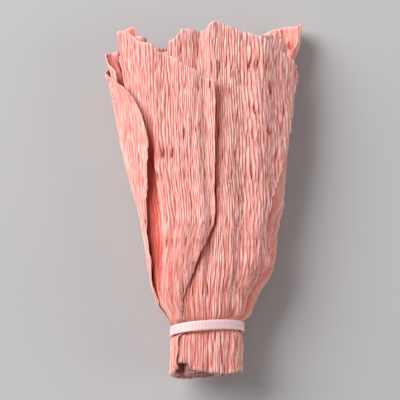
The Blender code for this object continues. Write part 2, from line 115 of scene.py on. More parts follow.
# Crinkles of the crepe
ROUND_MOUTH = 205.0 * MM
CRINKLE_PITCH = 1.2 * MM
CRINKLE_LENGTH = 12.0 * MM
CRINKLE_HEIGHT = 1.0 * MM
CRINKLE_MIDDLE = 0.65
CRINKLE_AT_TIE = 0.5
CRINKLE_REACH = 16.0 * MM
PLEAT_PITCH = 3.0 * MM
PLEAT_LENGTH = 26.0 * MM
PLEAT_HEIGHT = 1.5 * MM
PLEAT_REACH = 20.0 * MM
PLEAT_MIDDLE = 0.7
PLEAT_SHADE = 0.9
STUB_PLEAT_SHADE = 0.4
PLEAT_SEED = 5
EDGE_HIGHLIGHT_REACH = 0.3 * MM

# Cable tie

STRAP_WIDTH = 3.0 * MM
STRAP_THICKNESS = 1.1 * MM
STRAP_GAP = 0.3 * MM
TOOTH_PITCH = 1.2 * MM
TOOTH_DEPTH = 0.12 * MM
RAIL_WIDTH = 0.55 * MM
HEAD_WIDTH = 5.5 * MM
HEAD_LENGTH = 5.8 * MM
HEAD_HEIGHT = 4.4 * MM
HEAD_TURN = 0.615
HEAD_LIFT = 1.5 * MM
HEAD_ROUNDING = 0.7 * MM
SLOT_GAP = 0.3 * MM
TAIL_STANDS_OUT = 0.9 * MM
STRAP_POINTS = 300
STRAP_ROUNDING = 0.12 * MM
STRAP_ROWS = 24
STEPS_PER_TOOTH = 8
FIRST_TOOTH = 7.0 * MM
LAST_TOOTH = 11.0 * MM

# Middle of the tie in the frame, from the strap's top and right side
STRAP_OUT = PAPER / 2 + GATHER_AT_TIE + STRAP_GAP + STRAP_THICKNESS
TIE_LOW, TIE_HIGH = (Vector(corner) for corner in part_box("cable_tie"))
MIDDLE = Vector((
    TIE_HIGH.x - TIE_HALF_WIDTH - STRAP_OUT,
    TIE_HIGH.y - STRAP_WIDTH / 2 - TIE_TILT * (TIE_HALF_WIDTH + STRAP_OUT),
    TIE_HIGH.z - TIE_HALF_HEIGHT - STRAP_OUT - TIE_RAISED,
))


def follow(stations, at):
    """Values of a smooth line through stations (place, value), held level past its ends.

    The slope at a station is the harmonic mean of its neighbours' slopes, so the line never overshoots.
    """
    places = np.array([p for p, _ in stations])
    values = np.array([v for _, v in stations])
    steps = np.diff(values) / np.diff(places)
    slopes = np.zeros(len(places))
    product = steps[1:] * steps[:-1]
    total = np.where(product > 0, steps[1:] + steps[:-1], 1.0)
    slopes[1:-1] = np.where(product > 0, 2 * product / total, 0.0)
    slopes[0], slopes[-1] = steps[0], steps[-1]
    at = np.clip(at, places[0], places[-1])
    i = np.clip(np.searchsorted(places, at, side="right") - 1, 0, len(places) - 2)
    run = places[i + 1] - places[i]
    u = (at - places[i]) / run
    start = (1 + 2 * u) * (1 - u) ** 2 * values[i] + u * (1 - u) ** 2 * run * slopes[i]
    end = u * u * (3 - 2 * u) * values[i + 1] + u * u * (u - 1) * run * slopes[i + 1]
    return start + end


def ease(share):
    share = np.clip(share, 0.0, 1.0)
    return share * share * (3 - 2 * share)


def away_from_band(y):
    return np.maximum(0.0, np.abs(y) - BAND_FLAT)


def beyond_band(y):
    """Share of the way out of the tie's grip, from 0 under the strap to 1."""
    reach = np.where(y > 0, SHOULDER, STUB_SHOULDER)
    return 1 - np.exp(-(away_from_band(y) / reach) ** SHOULDER_POWER)


def half_size(y, at_tie, neck, flare, stub):
    """Half the section's size: it springs out beside the tie and then widens more slowly."""
    target = np.where(y > 0, neck + flare * y, stub)
    sprung = at_tie + BULGE * (1 - np.exp(-(away_from_band(y) / BULGE_REACH) ** 2))
    return sprung + (target - sprung) * beyond_band(y)


def section(turn, y, inward):
    """Points of the oval at shares of a turn, from the right side over the front, moved inward."""
    a = half_size(y, TIE_HALF_WIDTH, NECK_HALF_WIDTH, FLARE_WIDTH, STUB_HALF_WIDTH)
    front = half_size(y, TIE_HALF_HEIGHT, NECK_FRONT, FLARE_FRONT, STUB_HALF_HEIGHT)
    back = half_size(y, TIE_HALF_HEIGHT, NECK_BACK, FLARE_BACK, STUB_HALF_HEIGHT)
    flatness = 0.5 * (a - 0.5 * (front + back)) / (a + 0.5 * (front + back))
    angle = math.tau * turn + flatness * np.sin(2 * math.tau * turn)
    c, s = np.cos(angle), np.sin(angle)
    side = y / np.where(y > 0, BLOOM_LENGTH, STUB_LENGTH)
    a = a + MM * np.where(c > 0, follow(RIGHT_SIDE, side), follow(LEFT_SIDE, side))
    height = np.where(s > 0, front, back)
    power = OVAL_AT_TIE + (OVAL_POWER - OVAL_AT_TIE) * beyond_band(y)
    norm = (np.abs(c) ** power + np.abs(s) ** power) ** (1 / power)
    lean = np.clip((y - LEAN_FROM) / LEAN_LENGTH, 0.0, 1.0)
    middle = SWAY * np.exp(-((y - SWAY_AT) / SWAY_REACH) ** 2) - LEAN * lean
    raised = TIE_RAISED * (1 - ease(y / RAISED_LENGTH))
    x = (a - inward) * c / norm + middle
    z = (height - inward) * s / norm + raised
    tilted = y + TIE_TILT * x * np.exp(-(y / TILT_REACH) ** 2)
    return np.stack((x, tilted, z), axis=-1)


def frame_at(turn, y, inward):
    """Points on the section, their directions along the turn and the length for a whole turn."""
    step = 0.001
    run = section(turn + step, y, inward) - section(turn - step, y, inward)
    length = np.linalg.norm(run, axis=-1)
    return section(turn, y, inward), run / length[..., None], length / (2 * step)


def layer(y):
    share = 1 - np.exp(-away_from_band(y) / LAYER_GROWTH)
    return LAYER_AT_TIE + (LAYER_AT_MOUTH - LAYER_AT_TIE) * share


def gathers(turn, y):
    """Soft folds that all the layers share, so that they lie in one another."""
    grown = 1 - np.exp(-away_from_band(y) / GATHER_REACH)
    height = GATHER_AT_TIE + (GATHER_HEIGHT - GATHER_AT_TIE) * grown
    wander = 0.5 * np.sin(y / (28 * MM))
    main = np.sin(math.tau * GATHERS_ROUND * turn + 0.4 + wander)
    side = np.sin(math.tau * (GATHERS_ROUND + 7) * turn + 1.7 - wander)
    return height * (0.6 * main + 0.4 * side)


def noise(x, y, seed):
    """Smooth noise from about -1 to 1 over a plane, the same each run."""
    xi, yi = np.floor(x).astype(np.int64), np.floor(y).astype(np.int64)
    fx, fy = x - xi, y - yi

    def corner(i, j):
        mixed = ((xi + i) * 374761393 + (yi + j) * 668265263 + seed * 362437) & 0x7FFFFFFF
        mixed = ((mixed ^ (mixed >> 13)) * 1274126177) & 0x7FFFFFFF
        angle = (mixed & 0xFFFF) * (math.tau / 65536)
        return np.cos(angle) * (fx - i) + np.sin(angle) * (fy - j)

    u = fx * fx * fx * (fx * (fx * 6 - 15) + 10)
    v = fy * fy * fy * (fy * (fy * 6 - 15) + 10)
    low = corner(0, 0) * (1 - u) + corner(1, 0) * u
    high = corner(0, 1) * (1 - u) + corner(1, 1) * u
    return 1.5 * (low * (1 - v) + high * v)


def crinkles(u, v, seed):
    """Crepe over the flat sheet: short rounded ridges along it between sharp slits, from 0 to 1."""
    u = u + 0.25 * MM * noise(u / (7 * MM), v / (34 * MM), seed)
    phase = u / CRINKLE_PITCH + 0.45 * noise(u / (2.0 * MM), v / CRINKLE_LENGTH, seed + 1)
    comb = np.abs(np.sin(math.pi * phase)) ** 1.1
    cut = np.clip(0.6 + 1.3 * noise(u / (1.0 * MM), v / (0.5 * CRINKLE_LENGTH), seed + 2), 0.05, 1.0)
    fine = noise(u / (0.5 * MM), v / (0.3 * CRINKLE_LENGTH), seed + 3)
    crest = noise(u / (0.9 * MM), v / (0.4 * CRINKLE_LENGTH), seed + 4)
    slit = np.clip(5.0 * (noise(u / (0.7 * MM), v / (0.8 * CRINKLE_LENGTH), seed + 5) - 0.37), 0.0, 1.0)
    height = 0.7 + cut * (comb - 0.7) + 0.2 * fine + 0.22 * crest
    return np.clip(height * (1 - 0.9 * slit), 0.0, 1.0)


def paper_run(turn, y):
    """Place across the sheets at a share of a turn: the crinkles crowd only a little at the tie."""
    a = half_size(y, TIE_HALF_WIDTH, NECK_HALF_WIDTH, FLARE_WIDTH, STUB_HALF_WIDTH)
    b = half_size(y, TIE_HALF_HEIGHT, NECK_FRONT, FLARE_FRONT, STUB_HALF_HEIGHT)
    round_here = 4.0 * (a + 0.62 * b)
    return (turn - 0.25) * np.sqrt(round_here * ROUND_MOUTH)


def pleats(u, v):
    """Broader folds where the sheets are gathered above and below the tie, from 0 to 1, the same in all."""
    u = u + 0.5 * MM * noise(u / (6 * MM), v / (30 * MM), PLEAT_SEED)
    fold = np.abs(noise(u / PLEAT_PITCH, v / PLEAT_LENGTH, PLEAT_SEED + 1))
    return np.clip(2.2 * fold, 0.0, 1.0) ** 0.6


def deselect():
    bpy.ops.object.select_all(action="DESELECT")


def apply_modifiers(piece):
    deselect()
    piece.select_set(True)
    bpy.context.view_layer.objects.active = piece
    for modifier in list(piece.modifiers):
        bpy.ops.object.modifier_apply(modifier=modifier.name)


class Petal:
    """One sheet: its two long edges as turns along the bundle, its layer across, its top and its foot.

    lift: how high the first edge stands, over what length it rises, and how far it lies down near the tie
    creases: line, depth, widths to its right and left as turns, and its two ends as shares of the length;
    painted shade is added in them too
    roll: the share across from which the sheet turns back inside, and the size of that roll; the rolled part
    gets a painted shade
    flare: turn, width, how far out, and where it starts and how long it takes as shares of the length
    under: a painted shadow next to the edge of the sheet over it: line of that edge, reach as a turn, top as
    a share, length at the foot, strength
    shaded_hollows: painted shade in a hollow: turn, width, middle and reach as shares of the length,
    strength
    """

    def __init__(self, name, first, last, depth, top, foot, width, columns, rows, seed,
                 lift=(0.0, 55 * MM, 0.0), creases=(), roll=None, outward_at_mouth=0.0,
                 gathered=1.0, snug=0.0, flare=None, under=None, shaded_hollows=()):
        self.name = name
        self.first = first
        self.last = last
        self.depth = depth
        self.top = top
        self.foot = foot
        self.width = width
        self.columns = columns
        self.rows = rows
        self.lift = lift
        self.creases = creases
        self.roll = roll
        self.outward_at_mouth = outward_at_mouth
        self.gathered = gathered
        self.snug = snug
        self.flare = flare
        self.under = under
        self.shaded_hollows = shaded_hollows
        self.seed = seed

    def turn(self, across, y):
        a, b = follow(self.first, y), follow(self.last, y)
        return a + (b - a) * across

    def inward(self, share, turn, y):
        rise = np.clip((y - MOUTH_FROM) / MOUTH_LENGTH, 0.0, 1.0)
        snug = 1 - self.snug * (1 - ease(y / SNUG_LENGTH))
        depth = (follow(self.depth, share) * snug - self.outward_at_mouth * rise) * layer(y)
        lift, reach, pressed = self.lift
        raised = ease(y / reach)
        raised = raised - pressed * ease(y / PRESSED_FROM) * (1 - raised)
        depth = depth - lift * raised * np.exp(-share / EDGE_LIFT_SHARE)
        if self.flare is not None:
            at, wide, out, start, reach = self.flare
            risen = ease((y / BLOOM_LENGTH - start) / reach)
            depth = depth - out * risen * np.exp(-((turn - at) / wide) ** 2)
        for line, deep, right, left, foot_y, top_y in self.creases:
            ends = np.minimum(y - foot_y * BLOOM_LENGTH, top_y * BLOOM_LENGTH - y)
            along = np.clip(ends / CREASE_END, 0.0, 1.0)
            off = turn - follow(line, y)
            depth = depth + deep * along * np.exp(-(off / np.where(off > 0, left, right)) ** 2)
        return depth - self.gathered * gathers(turn, y)

    def painted_shade_at(self, turn, y):
        """Painted shade from 0 to 1: how deep a place lies in a crease or a hollow, or next to the edge of
        the sheet over it.
        """
        hidden, beside, hollow = 0 * y, 0 * y, 0 * y
        for line, _, right, left, foot_y, top_y in self.creases:
            ends = np.minimum(y - foot_y * BLOOM_LENGTH, top_y * BLOOM_LENGTH - y)
            along = np.clip(ends / CREASE_END, 0.0, 1.0)
            off = turn - follow(line, y)
            narrow = 0.5 * np.where(off > 0, left, right)
            hidden = hidden + CREASE_SHADE * along * np.exp(-(off / narrow) ** 2)
        for at, wide, middle, reach, strength in self.shaded_hollows:
            along = np.exp(-((y / BLOOM_LENGTH - middle) / reach) ** 2)
            hollow = hollow + strength * along * np.exp(-((turn - at) / wide) ** 2)
        if self.under is not None:
            line, reach, top, foot, strength = self.under
            off = (follow(line, y) - turn + 0.5) % 1.0 - 0.5
            between = ease((top * BLOOM_LENGTH - y) / UNDER_END) * np.clip(y / foot, 0.0, 1.0)
            near = np.exp(-(np.maximum(off, 0.0) / reach) ** 2) * (off > -0.03)
            beside = strength * between * near
        return np.maximum(np.maximum(beside, hollow), np.clip(hidden, 0.0, CREASE_SHADE_LIMIT))

    def places(self, share, up):
        """Points of the sheet at shares across and up.

        With them come the crinkles' height with painted shade in the pleats, the place on the flat sheet,
        the painted edge highlight and the painted shade.
        """
        flat_share = 1.0 if self.roll is None else self.roll["from"]
        across = np.minimum(1.0, share / flat_share)
        u = share * self.width
        top = follow(self.top, self.turn(across, MOUTH))
        if self.roll is not None:
            top = top + self.roll["rise"] * ease((share - flat_share) / (1 - flat_share))
        top = top + 0.45 * MM * noise(u / (4.5 * MM), 0 * u, self.seed + 20)
        top = top + 0.25 * MM * noise(u / (1.3 * MM), 0 * u, self.seed + 21)
        foot = follow(self.foot, across) + 0.4 * MM * noise(u / (3 * MM), 0 * u, self.seed + 22)
        low = foot + (KNEE - foot) * up / KNEE_SHARE
        high = KNEE + (top - KNEE) * (up - KNEE_SHARE) / (1 - KNEE_SHARE)
        y = np.where(up < KNEE_SHARE, low, high)
        turn = self.turn(across, y)
        inward = self.inward(across, turn, y)
        run = paper_run(turn, y) + np.maximum(0.0, u - flat_share * self.width)
        height = crinkles(run, y, self.seed)
        fold = pleats(run, y)
        grown = CRINKLE_AT_TIE + (1 - CRINKLE_AT_TIE) * (1 - np.exp(-away_from_band(y) / CRINKLE_REACH))
        rise = CRINKLE_HEIGHT * grown * (height - CRINKLE_MIDDLE)
        gathered = np.exp(-np.maximum(0.0, y) / PLEAT_REACH) * (1 - np.exp(-away_from_band(y) / (2 * MM)))
        rise = rise + PLEAT_HEIGHT * gathered * (fold - PLEAT_MIDDLE)
        # Painted shade: the crinkle value that sets the colour is darkened in the pleats.
        height = height * (1 - np.where(y < 0, STUB_PLEAT_SHADE, PLEAT_SHADE) * gathered * (1 - fold))
        shade = self.painted_shade_at(turn, y)
        place = section(turn, y, inward - rise)
        if self.roll is not None:
            past = share > flat_share
            # Painted shade over the rolled part.
            shade[past] = ROLL_SHADE
            place[past] = self.rolled((share[past] - flat_share) / (1 - flat_share), turn[past],
                                      y[past], inward[past], rise[past])
        in_from_edge = np.minimum(u, self.width - u)
        in_from_rim = np.minimum(np.minimum(top - y, y - foot), in_from_edge)
        # Painted highlight along the sheet's cut edges.
        edge_highlight = np.exp(-(in_from_rim / EDGE_HIGHLIGHT_REACH) ** 2)
        return place, height, u, y, edge_highlight, shade

    def rolled(self, share, turn, y, inward, rise):
        """Past the fold line the sheet goes round a half circle and back inside itself."""
        grown = 0.45 + 0.55 * beyond_band(np.maximum(0.0, y))
        open_up = ease((y - (MOUTH - 22 * MM)) / (26 * MM))
        radius = self.roll["radius"] * grown + (self.roll["at_mouth"] - self.roll["radius"]) * open_up
        length = share * (math.pi * radius + self.roll["back"] * grown)
        onward = 1 if self.last[0][1] > self.first[0][1] else -1
        here, along, whole_turn = frame_at(turn, y, inward)
        along = along * onward
        inside = np.stack((-along[:, 2], 0 * y, along[:, 0]), axis=-1) * onward
        angle = np.minimum(math.pi, length / radius)
        past = np.maximum(0.0, length - math.pi * radius)
        out = (radius + rise)[:, None]
        swing = along * out * np.sin(angle)[:, None]
        drop = inside * (radius[:, None] - out * np.cos(angle)[:, None])
        returned = section(turn - onward * past / whole_turn, y, inward + 2 * radius + rise)
        return np.where((past > 0)[:, None], returned, here + swing + drop)


def along_bundle(share):
    """Place along the bundle: a share of the bloom above the tie, or of the stub below it."""
    return share * (BLOOM_LENGTH if share > 0 else STUB_LENGTH)


def edge(*pairs):
    """Edge line from (share of the length, turn) pairs."""
    return tuple((along_bundle(share), turn) for share, turn in pairs)


def outline(*pairs):
    """Top or foot line from (turn or share across, share of the length) pairs."""
    return tuple((place, along_bundle(share)) for place, share in pairs)


FRONT_LEFT_EDGE = edge((-1, 0.37), (0, 0.395), (0.036, 0.382), (0.063, 0.368), (0.084, 0.359),
                       (0.108, 0.345), (0.144, 0.323), (0.188, 0.301), (0.238, 0.277), (0.29, 0.251),
                       (0.325, 0.236), (0.427, 0.229), (0.525, 0.220), (0.658, 0.215), (0.783, 0.211),
                       (1.077, 0.209))
LEFT_FLAP_EDGE = edge((-1, 0.53), (0, 0.52), (0.046, 0.50), (0.092, 0.472), (0.14, 0.455), (0.198, 0.443),
                      (0.247, 0.441), (0.292, 0.441), (0.346, 0.437), (0.396, 0.430), (0.408, 0.427),
                      (0.468, 0.413), (0.5, 0.407), (0.544, 0.397), (0.592, 0.392), (0.644, 0.394),
                      (0.707, 0.405), (0.748, 0.416), (0.788, 0.431), (0.823, 0.452), (0.862, 0.48),
                      (1.077, 0.50))
FRONT_RIGHT_EDGE = edge((-1, 0.045), (0, 0.06), (0.085, 0.079), (0.123, 0.068), (0.2, 0.055),
                        (0.262, 0.064), (0.323, 0.084), (0.4, 0.082), (0.492, 0.065), (0.638, 0.046),
                        (0.777, 0.028), (0.877, 0.016), (1.077, 0.014))

FRONT_RIGHT = Petal(
    "petal_front_right",
    first=FRONT_RIGHT_EDGE,
    last=edge((-1, 0.42), (0, 0.42), (0.154, 0.41), (0.462, 0.38), (0.908, 0.365), (1.077, 0.36)),
    depth=((0, 0.0), (0.3, 0.45), (0.5, 1.15), (0.72, 1.85), (1, 2.05)),
    top=outline((0.014, 0.842), (0.023, 0.858), (0.045, 0.890), (0.063, 0.908), (0.115, 0.952),
                (0.136, 0.968), (0.172, 0.989), (0.189, 1.003), (0.205, 1.007), (0.223, 1.002),
                (0.239, 0.982), (0.263, 0.984), (0.292, 0.988), (0.317, 0.985), (0.334, 0.955),
                (0.349, 0.951), (0.352, 0.915), (0.363, 0.906)),
    foot=outline((0, -0.861), (0.04, -0.939), (0.19, -1.028), (0.30, -1.061), (0.44, -1.044), (0.6, -1),
                 (0.75, -0.956), (0.81, -0.894), (0.86, -0.794), (1, -0.756)),
    width=88 * MM, columns=430, rows=112, seed=3, lift=(1.4 * MM, 80 * MM, 0.5), snug=0.55,
    under=(FRONT_LEFT_EDGE, 0.017, 0.83, 48 * MM, 1.0),
    creases=(
        (edge((0.808, 0.276), (1, 0.256)), 2.1 * MM, 0.008, 0.030, 0.69, 1.15),
        (edge((0.808, 0.318), (0.962, 0.318)), 1.2 * MM, 0.004, 0.006, 0.80, 1.0),
    ),
)

FRONT_LEFT = Petal(
    "petal_front_left",
    first=FRONT_LEFT_EDGE,
    last=edge((-1, 0.55), (0, 0.53), (0.154, 0.50), (0.308, 0.482), (0.538, 0.462), (0.769, 0.440),
              (0.908, 0.434), (1.077, 0.430)),
    depth=((0, 0.1), (0.3, 0.28), (0.62, 0.8), (1, 1.1)),
    top=outline((0.209, 0.788), (0.288, 0.837), (0.350, 0.892), (0.362, 0.899), (0.366, 0.905),
                (0.375, 0.928), (0.382, 0.934), (0.397, 0.943), (0.408, 0.963), (0.423, 0.988),
                (0.434, 0.994)),
    foot=outline((0, -0.15), (0.12, -0.5), (0.35, -0.97), (0.6, -1), (1, -1)),
    width=70 * MM, columns=360, rows=108, seed=11, lift=(0.8 * MM, 80 * MM, 0.9), snug=0.55,
    under=(LEFT_FLAP_EDGE, 0.011, 0.68, 8 * MM, 0.87),
    creases=(
        (edge((0.054, 0.430), (0.223, 0.427), (0.423, 0.411), (0.523, 0.402), (0.669, 0.391)),
         1.8 * MM, 0.007, 0.024, -0.03, 0.77),
        (edge((0.085, 0.389), (0.177, 0.383), (0.231, 0.385), (0.385, 0.362)),
         1.3 * MM, 0.007, 0.010, 0.0, 0.48),
        (edge((0.562, 0.297), (0.746, 0.273)), 1.1 * MM, 0.007, 0.010, 0.48, 0.83),
    ),
    roll={"from": 0.76, "radius": 1.2 * MM, "back": 2.4 * MM, "at_mouth": 2.6 * MM, "rise": 3.4 * MM},
)

LEFT_FLAP = Petal(
    "petal_left_flap",
    first=LEFT_FLAP_EDGE,
    last=edge((-1, 0.80), (0, 0.80), (0.462, 0.77), (0.908, 0.74), (1.077, 0.73)),
    depth=((0, 0.0), (0.3, 0.0), (0.62, 0.85), (1, 1.1)),
    top=outline((0.475, 0.842), (0.49, 0.862), (0.50, 0.873), (0.53, 0.915), (0.58, 0.954), (0.64, 0.962),
                (0.70, 0.915), (0.74, 0.831)),
    foot=outline((0, -0.972), (0.3, -1.028), (1, -0.944)),
    width=70 * MM, columns=310, rows=104, seed=17, lift=(1.2 * MM, 55 * MM, 0.0), snug=0.55,
)

BACK_RIGHT = Petal(
    "petal_back_right",
    first=edge((-1, 0.66), (0, 0.66), (0.462, 0.67), (0.908, 0.68), (1.077, 0.68)),
    last=edge((-1, 1.14), (0, 1.14), (0.462, 1.13), (0.908, 1.10), (1.077, 1.08)),
    depth=((0, 0.0), (0.55, 0.0), (0.66, 0.15), (0.76, 1.1), (1, 1.45)),
    top=outline((0.68, 0.815), (0.74, 0.908), (0.82, 0.992), (0.88, 1.03), (0.905, 1.05), (0.925, 1.066),
                (0.945, 1.07), (0.968, 1.068), (0.997, 1.058), (1.012, 1.035), (1.02, 0.985),
                (1.04, 0.892), (1.10, 0.831)),
    foot=outline((0, -0.944), (0.3, -0.978), (0.6, -0.917), (1, -0.833)),
    width=90 * MM, columns=320, rows=104, seed=23, snug=0.55,
    flare=(0.97, 0.05, 2.3 * MM, 0.88, 0.10),
    under=(FRONT_RIGHT_EDGE, 0.032, 1.0, 8 * MM, 0.9),
    shaded_hollows=((0.95, 0.030, 0.915, 0.05, 0.75),),
)

BACK_LEFT = Petal(
    "petal_back_left",
    first=edge((-1, 0.55), (0, 0.545), (0.231, 0.53), (0.462, 0.50), (0.769, 0.470), (0.908, 0.455),
               (1.077, 0.45)),
    last=edge((-1, 0.88), (0, 0.88), (0.462, 0.86), (0.908, 0.83), (1.077, 0.82)),
    depth=((0, 0.7), (0.1, 0.75), (0.3, 2.05), (1, 2.2)),
    top=outline((0.455, 0.858), (0.472, 0.88), (0.488, 0.915), (0.500, 0.944), (0.53, 0.955), (0.56, 0.972),
                (0.57, 0.996), (0.62, 0.985), (0.70, 0.977), (0.78, 0.954), (0.83, 0.862)),
    foot=outline((0, -0.944), (0.5, -1.028), (1, -0.944)),
    width=70 * MM, columns=220, rows=96, seed=31, flare=(0.495, 0.03, 0.7 * MM, 0.86, 0.05),
    creases=((edge((0.769, 0.516), (1.077, 0.516)), 2.4 * MM, 0.010, 0.012, 0.75, 1.23),),
)

INNER_RIGHT = Petal(
    "petal_inner_right",
    first=edge((-1, 0.06), (0, 0.05), (0.308, 0.03), (0.908, 0.02), (1.077, 0.02)),
    last=edge((-1, 0.42), (0, 0.42), (0.154, 0.41), (0.462, 0.39), (0.908, 0.34), (1.077, 0.33)),
    depth=((0, 2.4), (0.3, 2.75), (0.6, 3.05), (1, 3.05)),
    top=outline((0.02, 0.938), (0.029, 0.958), (0.044, 0.965), (0.053, 0.977), (0.069, 0.994),
                (0.095, 0.978), (0.15, 0.969), (0.22, 0.938), (0.34, 0.862)),
    foot=outline((0, -0.917), (0.5, -0.972), (1, -0.889)),
    width=68 * MM, columns=220, rows=96, seed=37,
)

INNER_CORE = Petal(
    "petal_inner_core",
    first=edge((-1, 0.92), (0, 0.92), (0.154, 0.80), (0.462, 0.66), (0.908, 0.60), (1.077, 0.60)),
    last=edge((-1, 0.12), (0, 0.12), (0.154, 0.22), (0.462, 0.36), (0.908, 0.407), (1.077, 0.41)),
    depth=((0, 3.1), (0.4, 3.5), (0.7, 3.9), (1, 3.9)),
    top=outline((0.407, 0.978), (0.44, 0.975), (0.50, 0.908), (0.60, 0.8)),
    foot=outline((0, -0.944), (0.5, -1), (1, -0.889)),
    width=64 * MM, columns=200, rows=90, outward_at_mouth=0.9, gathered=0.4, seed=43,
    roll={"from": 0.78, "radius": 1.5 * MM, "back": 8.0 * MM, "at_mouth": 1.8 * MM, "rise": 1.0 * MM},
)

PETALS = (FRONT_RIGHT, FRONT_LEFT, LEFT_FLAP, BACK_RIGHT, BACK_LEFT, INNER_RIGHT, INNER_CORE)


class Value:
    """A shader socket that takes part in plain sums."""

    def __init__(self, graph, socket):
        self.graph = graph
        self.socket = socket

    def combine(self, operation, first, second):
        return self.graph.node("ShaderNodeMath", {"operation": operation}, {0: first, 1: second})

    def __add__(self, other):
        return self.combine("ADD", self, other)

    __radd__ = __add__

    def __mul__(self, other):
        return self.combine("MULTIPLY", self, other)

    __rmul__ = __mul__

    def __sub__(self, other):
        return self.combine("SUBTRACT", self, other)

    def __rsub__(self, other):
        return self.combine("SUBTRACT", other, self)


class Graph:
    """A material's nodes."""

    def __init__(self, name, colour):
        self.material = bpy.data.materials.new(name)
        self.material.use_nodes = True
        self.material.diffuse_color = colour
        self.nodes = self.material.node_tree.nodes
        self.links = self.material.node_tree.links
        self.shader = self.nodes["Principled BSDF"]

    def fill(self, node, inputs):
        for key, value in inputs.items():
            if isinstance(value, Value):
                self.links.new(value.socket, node.inputs[key])
            else:
                node.inputs[key].default_value = value

    def node(self, kind, settings, inputs, output=0):
        made = self.nodes.new(kind)
        for name, value in settings.items():
            setattr(made, name, value)
        self.fill(made, inputs)
        return Value(self, made.outputs[output])

    def mix(self, factor, a, b):
        inputs = {0: factor, 6: a, 7: b}
        return self.node("ShaderNodeMix", {"data_type": "RGBA"}, inputs, output=2)

    def attribute(self, name):
        return self.node("ShaderNodeAttribute", {"attribute_name": name}, {}, output=2)

    def scaled(self, vector, scale):
        return self.node("ShaderNodeMapping", {}, {0: vector, 3: scale})

    def step(self, value, low, high):
        """0 below low, 1 above high and a smooth rise between."""
        inputs = {"Value": value, "From Min": low, "From Max": high}
        return self.node("ShaderNodeMapRange", {"interpolation_type": "SMOOTHSTEP"}, inputs)

    def noise(self, vector, scale, detail, roughness=0.5):
        inputs = {"Vector": vector, "Scale": scale, "Detail": detail, "Roughness": roughness}
        return self.node("ShaderNodeTexNoise", {}, inputs)

    def use(self, **inputs):
        self.fill(self.shader, {name.replace("_", " "): value for name, value in inputs.items()})
        return self.material


def linear(*screen):
    """A colour as it is seen on a screen, 0 to 255, as the shader wants it, with full alpha."""
    out = []
    for channel in screen:
        c = channel / 255
        out.append(c / 12.92 if c <= 0.04045 else ((c + 0.055) / 1.055) ** 2.4)
    return (*out, 1.0)


def crepe_paper():
    """Salmon pink crepe: painted shade in slits and, reddish, where sheets lie close; painted highlight on
    crests and cut edges.
    """
    graph = Graph("crepe_paper", linear(236, 167, 157))
    flat = graph.node("ShaderNodeUVMap", {"uv_map": "flat"}, {})
    height = graph.attribute("crinkle")
    edge_highlight = graph.attribute("edge_highlight")
    shade = graph.attribute("shade")
    cloud = graph.noise(graph.scaled(flat, (0.06, 0.03, 1.0)), 1.0, 3.0)
    fibre = graph.noise(graph.scaled(flat, (1.9, 0.22, 1.0)), 1.0, 6.0, 0.7)
    grain = graph.noise(graph.scaled(flat, (5.0, 4.0, 1.0)), 1.0, 3.0, 0.6)
    # Painted shade in the slits (deep) and painted highlight on the crests, set by the crinkle value; the
    # middle colour is the paper's own.
    deep = graph.mix(cloud, linear(150, 46, 32), linear(164, 56, 42))
    middle = graph.mix(cloud, linear(241, 152, 139), linear(247, 162, 149))
    crest_highlight = graph.mix(cloud, linear(255, 209, 201), linear(255, 217, 210))
    tone = height * 0.8 + fibre * 0.4 - 0.1
    out_of_slit = graph.step(tone, 0.05, 0.48)
    on_crest = graph.step(tone, 0.5, 0.95)
    paper = graph.mix(on_crest, graph.mix(out_of_slit, deep, middle), crest_highlight)
    # Painted shade, reddish, in creases, in each hollow and next to the edges of the sheets lying over;
    # where it is strongest, a dark red painted shadow.
    paper = graph.mix(shade * 0.85, paper, linear(234, 92, 70))
    contact_shadow = graph.step(shade, 0.82, 1.0)
    paper = graph.mix(contact_shadow * 0.8, paper, linear(150, 40, 26))
    # Painted highlight along the cut edges.
    colour = graph.mix(edge_highlight * 0.6, paper, linear(255, 222, 214))
    relief = fibre * 0.75 + grain * 0.25
    bump = graph.node("ShaderNodeBump", {}, {"Strength": 0.8, "Distance": 0.3 * MM, "Height": relief})
    return graph.use(Base_Color=colour, Roughness=0.92, Normal=bump, Specular_IOR_Level=0.2,
                     Subsurface_Weight=0.1, Subsurface_Radius=(1.0, 0.35, 0.25), Subsurface_Scale=0.5 * MM)


def tie_nylon():
    graph = Graph("tie_nylon", linear(249, 222, 220))
    place = graph.node("ShaderNodeTexCoord", {}, {}, output=3)
    cloud = graph.noise(place, 160.0, 3.0)
    grain = graph.noise(place, 2600.0, 2.0)
    colour = graph.mix(cloud, linear(251, 208, 206), linear(253, 217, 215))
    bump = graph.node("ShaderNodeBump", {}, {"Strength": 0.15, "Distance": 0.05 * MM, "Height": grain})
    return graph.use(Base_Color=colour, Roughness=cloud * 0.2 + 0.3, Normal=bump,
                     Subsurface_Weight=0.5, Subsurface_Radius=(1.0, 0.8, 0.75), Subsurface_Scale=1.2 * MM)


def table_grey():
    graph = Graph("table_grey", linear(194, 191, 192))
    place = graph.node("ShaderNodeTexCoord", {}, {}, output=3)
    cloud = graph.noise(place, 9.0, 2.0)
    grain = graph.noise(place, 900.0, 2.0)
    colour = graph.mix(cloud, linear(192, 190, 190), linear(196, 194, 194))
    bump = graph.node("ShaderNodeBump", {}, {"Strength": 0.05, "Distance": 0.05 * MM, "Height": grain})
    return graph.use(Base_Color=colour, Roughness=0.85, Normal=bump, Specular_IOR_Level=0.2)


def add_grid(name, columns, rows):
    """A flat grid, with its points' shares across and up."""
    deselect()
    bpy.ops.mesh.primitive_grid_add(x_subdivisions=columns, y_subdivisions=rows, size=1.0)
    piece = bpy.context.active_object
    piece.name = piece.data.name = name
    flat = np.empty(3 * len(piece.data.vertices))
    piece.data.vertices.foreach_get("co", flat)
    flat = flat.reshape(-1, 3) + 0.5
    return piece, flat[:, 0], flat[:, 1]


